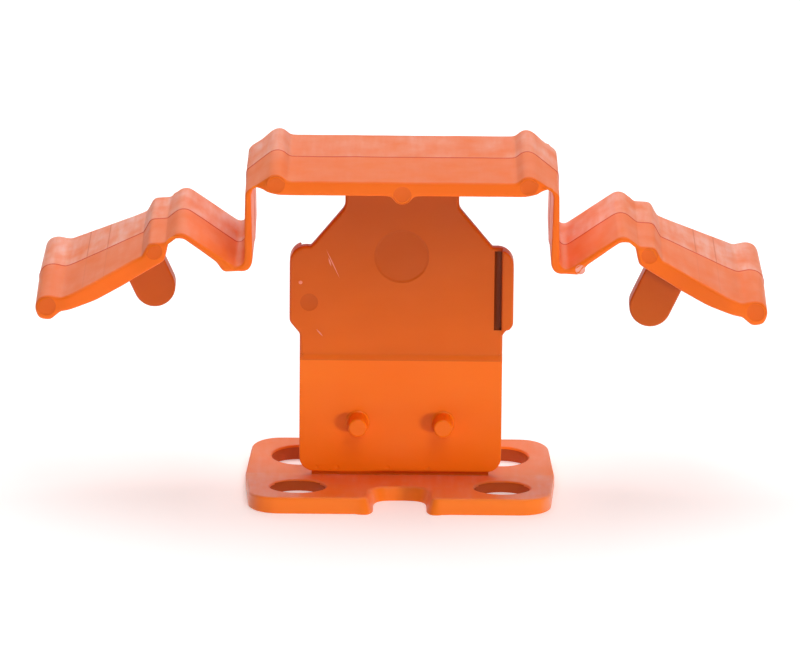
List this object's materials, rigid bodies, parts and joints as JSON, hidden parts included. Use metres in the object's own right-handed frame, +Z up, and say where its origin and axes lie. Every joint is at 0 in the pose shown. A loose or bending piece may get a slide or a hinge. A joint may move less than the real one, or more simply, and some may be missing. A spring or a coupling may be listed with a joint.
{
  "type": "tile levelling clip",
  "caption": "Moulded tile levelling clip: a foot with mortar holes, a thin break-off stem with spacer pegs, and a bridge with sprung wings that fold down to press on the tiles.",
  "frame": {"origin": "middle of the foot's flat underside", "axes": "+Z up the stem, X along the wings, Y through the depth of the clip"},
  "size_m": [0.0922, 0.0286, 0.044],
  "materials": {
    "orange_moulding": "injection-moulded gloss"
  },
  "bodies": {
    "stem": {"base_plate": "orange_moulding", "break_off_web": "orange_moulding", "stem_blade": "orange_moulding", "front_left_spacer_peg": "orange_moulding", "front_right_spacer_peg": "orange_moulding", "back_left_spacer_peg": "orange_moulding", "back_right_spacer_peg": "orange_moulding", "upper_plate": "orange_moulding", "left_edge_rib": "orange_moulding", "right_edge_rib": "orange_moulding", "bridge_bar": "orange_moulding", "bridge_centre_bead": "orange_moulding", "left_bridge_bead": "orange_moulding", "right_bridge_bead": "orange_moulding", "left_hinge_film": "orange_moulding", "right_hinge_film": "orange_moulding"},
    "left_leg": {"left_spring_leg": "orange_moulding", "left_foot_bend": "orange_moulding"},
    "left_wing": {"left_foot_toe": "orange_moulding", "left_spring_arch": "orange_moulding", "left_knee_ridge": "orange_moulding", "left_press_panel": "orange_moulding", "left_press_ridge": "orange_moulding", "left_locking_tongue": "orange_moulding"},
    "right_leg": {"right_spring_leg": "orange_moulding", "right_foot_bend": "orange_moulding"},
    "right_wing": {"right_foot_toe": "orange_moulding", "right_spring_arch": "orange_moulding", "right_knee_ridge": "orange_moulding", "right_press_panel": "orange_moulding", "right_press_ridge": "orange_moulding", "right_locking_tongue": "orange_moulding"}
  },
  "joints": [
    {"name": "right_wing_hinge", "type": "hinge", "parent": "stem", "child": "right_leg", "pos_m": [0.01865, 0, 0.042], "axis": [0, 1, 0], "range_deg": [0, 60], "stiffness_Nm_per_rad": 0.02, "deforming": ["right_hinge_film"]},
    {"name": "left_wing_hinge", "type": "hinge", "parent": "stem", "child": "left_leg", "pos_m": [-0.01865, 0, 0.042], "axis": [0, -1, 0], "range_deg": [0, 60], "stiffness_Nm_per_rad": 0.02, "deforming": ["left_hinge_film"]},
    {"name": "right_spring_bend", "type": "hinge", "parent": "right_leg", "child": "right_wing", "pos_m": [0.0206, 0, 0.0316], "axis": [0, -1, 0], "range_deg": [0, 20], "stiffness_Nm_per_rad": 0.1, "deforming": ["right_foot_bend"]},
    {"name": "left_spring_bend", "type": "hinge", "parent": "left_leg", "child": "left_wing", "pos_m": [-0.0206, 0, 0.0316], "axis": [0, 1, 0], "range_deg": [0, 20], "stiffness_Nm_per_rad": 0.1, "deforming": ["left_foot_bend"]}
  ]
}
